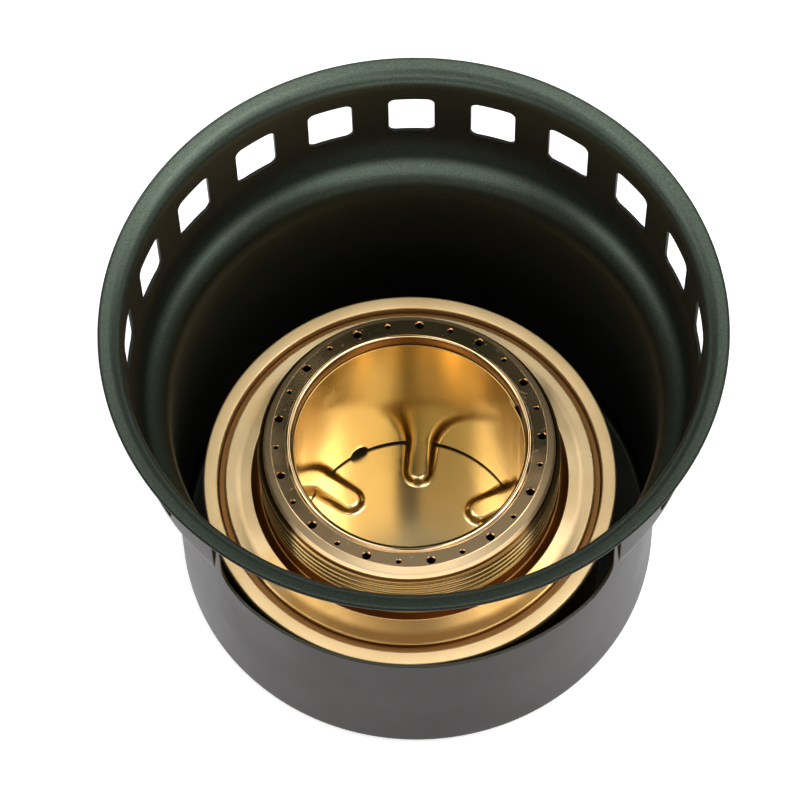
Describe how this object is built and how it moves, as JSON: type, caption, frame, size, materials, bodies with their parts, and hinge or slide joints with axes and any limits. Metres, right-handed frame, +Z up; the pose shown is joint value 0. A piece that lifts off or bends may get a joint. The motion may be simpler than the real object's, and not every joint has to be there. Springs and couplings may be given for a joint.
{
  "type": "alcohol stove",
  "caption": "Round camping stove: a vented aluminium wind shield and pot stand with a front window, holding a lift-out brass spirit burner with a jet ring and open fuel well.",
  "frame": {"origin": "on the ground, under the middle of the stand", "axes": "+Z up, the stand's window faces -Y, +X to the right as seen from the window"},
  "size_m": [0.107, 0.107, 0.078],
  "materials": {
    "anodised_aluminium": "satin dark green anodised, warmer grey outside",
    "satin_brass": "satin, faintly turned",
    "polished_brass": "polished",
    "sleeve_brass": "rolled, softly shining",
    "wick_fibre": "matted fibre"
  },
  "bodies": {
    "stand": {"stand": "anodised_aluminium"},
    "burner": {"burner_cup": "satin_brass", "burner_top": "polished_brass", "inner_sleeve": "sleeve_brass", "wick": "wick_fibre"}
  },
  "joints": [
    {"name": "burner_lift", "type": "slide", "parent": "stand", "child": "burner", "axis": [0, 0, 1], "range_m": [0, 0.09]}
  ]
}
